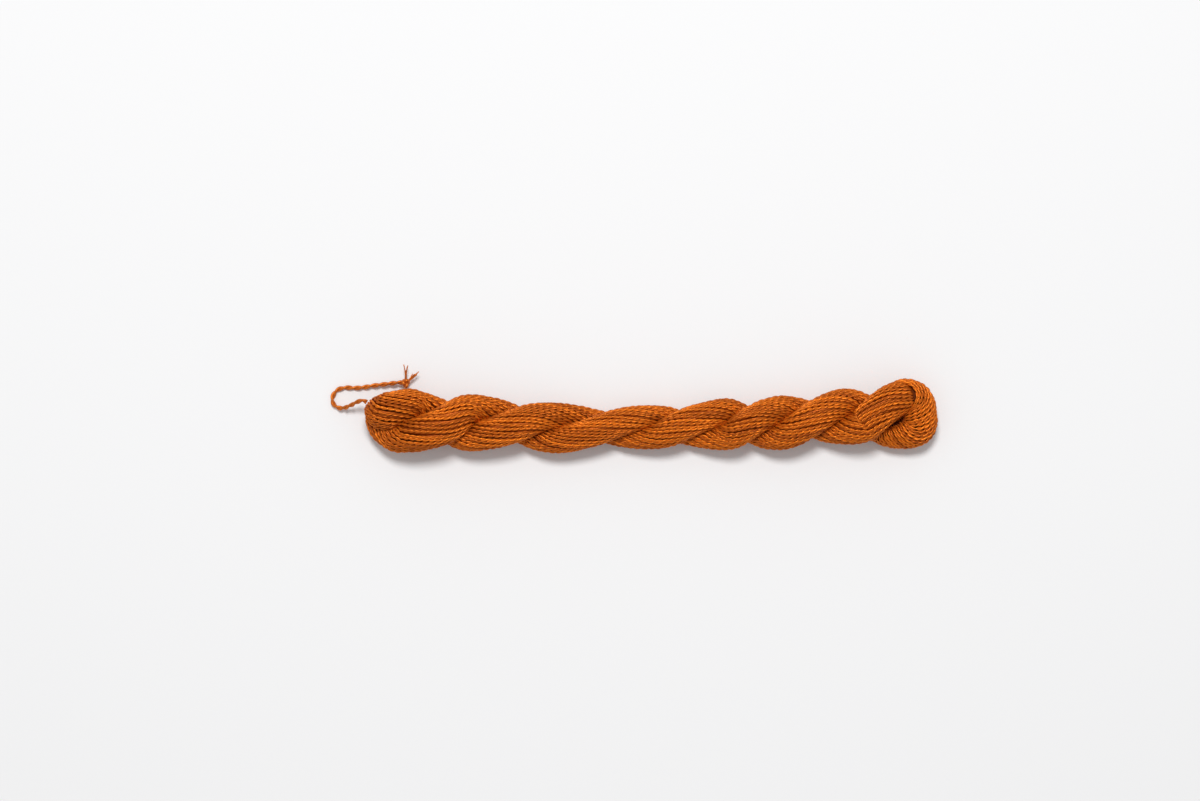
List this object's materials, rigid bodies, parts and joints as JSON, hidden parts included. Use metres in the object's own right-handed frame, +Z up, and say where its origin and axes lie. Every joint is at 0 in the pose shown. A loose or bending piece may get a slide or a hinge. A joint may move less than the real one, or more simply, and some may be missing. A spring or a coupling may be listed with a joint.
{
  "type": "skein of embroidery floss",
  "caption": "Twisted hank of glossy two-ply embroidery yarn, folded over at one end and gathered by a knotted yarn tie at the other, lying flat.",
  "frame": {"origin": "on the surface the hank lies on, under the middle of the hank's box", "axes": "+X along the hank from the tied end to the folded end, +Z up from the surface, +Y across"},
  "size_m": [0.188, 0.0269, 0.0162],
  "materials": {
    "silk_yarn": "silky sheen, two-ply twisted yarn",
    "tie_yarn": "silky sheen, two-ply twisted cord"
  },
  "bodies": {
    "root": {"skein": "silk_yarn", "tie_cord": "tie_yarn", "tie_knot": "tie_yarn", "tie_end_long": "tie_yarn", "tie_end_short": "tie_yarn"}
  },
  "joints": []
}
